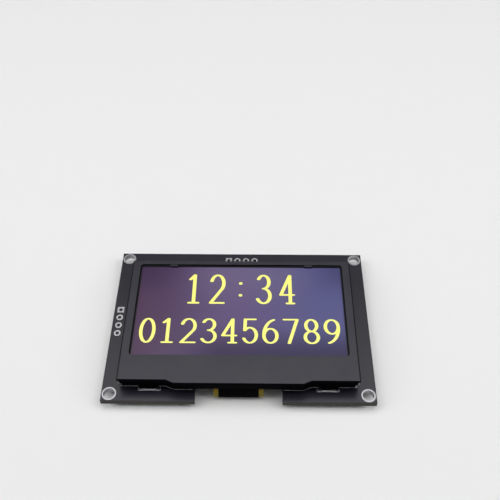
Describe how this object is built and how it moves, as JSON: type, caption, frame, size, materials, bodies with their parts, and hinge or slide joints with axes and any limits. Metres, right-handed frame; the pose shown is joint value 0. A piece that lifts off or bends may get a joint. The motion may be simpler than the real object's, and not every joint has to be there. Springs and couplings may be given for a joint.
{
  "type": "oled display module",
  "caption": "Small display module: a glass screen under a folded dark metal frame, on a black circuit board with corner screw holes, header pads on two edges and a looped flex tail.",
  "frame": {"origin": "under the middle of the circuit board, level with the tips of the frame's tabs", "axes": "+X along the display's long side, +Y away from the flex tail, +Z out of the screen"},
  "size_m": [0.0706, 0.048, 0.0081],
  "materials": {
    "solder_mask": "matt black solder mask on glass-fibre board",
    "tin_plating": "satin tinned copper",
    "frame_steel": "satin black coated steel sheet",
    "solder": "bright solder, slightly uneven",
    "black_foam": "matt fine-celled foam",
    "screen_film": "smooth dark purple polarizing film",
    "display_glass": "dark coated glass with ground edges",
    "drying_sheet": "matt pale sheet",
    "silicon": "polished dark grey silicon",
    "amber_film": "glossy amber polyimide",
    "black_film": "matt black film",
    "moulded_black": "matt moulded epoxy",
    "resistor_glaze": "glossy black glaze",
    "capacitor_ceramic": "matt tan fired ceramic",
    "lead_tin": "satin tinned copper alloy",
    "ferrite": "matt dark grey ferrite"
  },
  "bodies": {
    "root": {"circuit_board": "solder_mask", "mounting_hole_plating": "tin_plating", "left_header_pads": "tin_plating", "top_header_pads": "tin_plating", "tab_slot_plating": "tin_plating", "display_frame": "frame_steel", "tab_solder": "solder", "lip_gasket": "black_foam", "polarizer": "screen_film", "front_glass": "display_glass", "rear_glass": "display_glass", "getter_sheet": "drying_sheet", "support_foam": "black_foam", "driver_chip": "silicon", "flex_tail": "amber_film", "flex_cover_film": "black_film", "flex_contacts": "solder", "component_lands": "tin_plating", "resistor_bodies": "resistor_glaze", "resistor_terminals": "lead_tin", "capacitor_bodies": "capacitor_ceramic", "capacitor_terminals": "lead_tin", "boost_chip_body": "moulded_black", "boost_chip_leads": "lead_tin", "regulator_body": "moulded_black", "regulator_leads": "lead_tin", "diode_body": "moulded_black", "diode_leads": "lead_tin", "inductor_terminals": "lead_tin", "inductor_shield": "ferrite", "inductor_core": "ferrite"}
  },
  "joints": []
}
